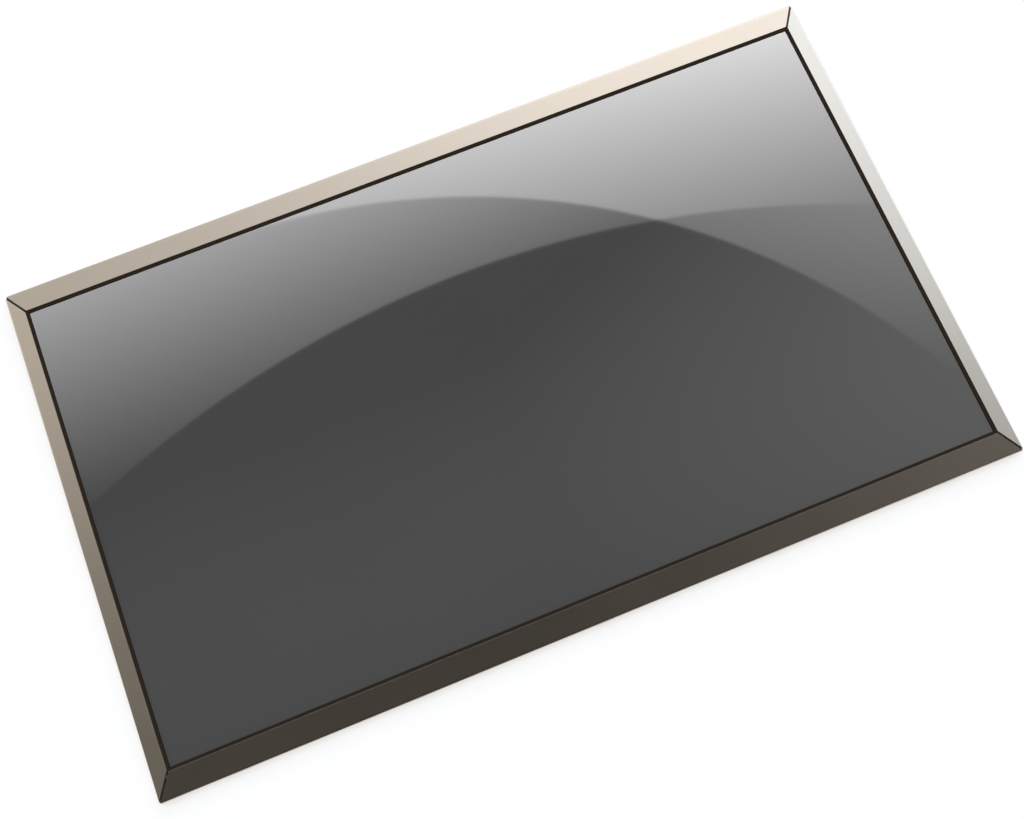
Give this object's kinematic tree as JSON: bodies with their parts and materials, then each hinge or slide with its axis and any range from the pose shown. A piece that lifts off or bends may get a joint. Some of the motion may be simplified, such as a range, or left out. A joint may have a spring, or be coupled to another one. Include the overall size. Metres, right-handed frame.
{
  "type": "laptop screen panel",
  "caption": "Flat laptop display panel: a glossy dark screen in a bevelled, mitred metal bezel, with its backlight, driver board and data connector behind.",
  "frame": {"origin": "on the rest plane under the middle of the screen", "axes": "+X to the right of the screen, +Y to its top edge, +Z out of the screen"},
  "size_m": [0.3606, 0.2162, 0.0055],
  "materials": {
    "bezel_steel": "satin, warm tint",
    "gasket_foam": "matte foam",
    "screen_film": "glossy, dark",
    "cell_glass": "clear",
    "polariser_film": "satin film",
    "black_tape": "matte tape",
    "optical_film": "satin film",
    "acrylic": "clear acrylic",
    "white_film": "white film",
    "flex_circuit": "amber flexible circuit",
    "led_body": "white package",
    "frame_plastic": "fine-grained black",
    "rear_metal": "satin sheet",
    "screw_steel": "plain steel",
    "block_brass": "machined",
    "board_laminate": "green solder mask",
    "driver_film": "amber film",
    "bare_chip": "bare silicon",
    "chip_package": "black package",
    "ferrite": "grey ferrite",
    "capacitor_body": "tan ceramic",
    "resistor_body": "dark ceramic",
    "connector_plastic": "ivory",
    "connector_metal": "tinned sheet",
    "contact_gold": "gold plated",
    "clear_film": "clear film"
  },
  "bodies": {
    "root": {"bezel_rail_top": "bezel_steel", "bezel_rail_bottom": "bezel_steel", "bezel_rail_left": "bezel_steel", "bezel_rail_right": "bezel_steel", "bezel_gasket": "gasket_foam", "front_polariser": "screen_film", "colour_filter_glass": "cell_glass", "array_glass": "cell_glass", "rear_polariser": "polariser_film", "light_shield_tape": "black_tape", "lower_diffuser": "optical_film", "lower_prism_sheet": "optical_film", "upper_prism_sheet": "optical_film", "upper_diffuser": "optical_film", "light_guide_plate": "acrylic", "reflector_sheet": "white_film", "led_strip": "flex_circuit", "backlight_leds": "led_body", "mould_frame": "frame_plastic", "rear_cover": "rear_metal", "rear_cover_screws": "screw_steel", "mounting_block_left_lower": "block_brass", "mounting_block_left_upper": "block_brass", "mounting_block_right_lower": "block_brass", "mounting_block_right_upper": "block_brass", "source_board": "board_laminate", "driver_film_1": "driver_film", "driver_film_2": "driver_film", "driver_film_3": "driver_film", "driver_film_4": "driver_film", "driver_chip_1": "bare_chip", "driver_chip_2": "bare_chip", "driver_chip_3": "bare_chip", "driver_chip_4": "bare_chip", "timing_controller": "chip_package", "power_chip": "chip_package", "backlight_chip": "chip_package", "memory_chip": "chip_package", "diode": "chip_package", "power_inductor": "ferrite", "backlight_inductor": "ferrite", "board_capacitors": "capacitor_body", "board_resistors": "resistor_body", "connector_housing": "connector_plastic", "connector_shell": "connector_metal", "connector_contacts": "contact_gold", "board_cover_film": "clear_film"}
  },
  "joints": []
}
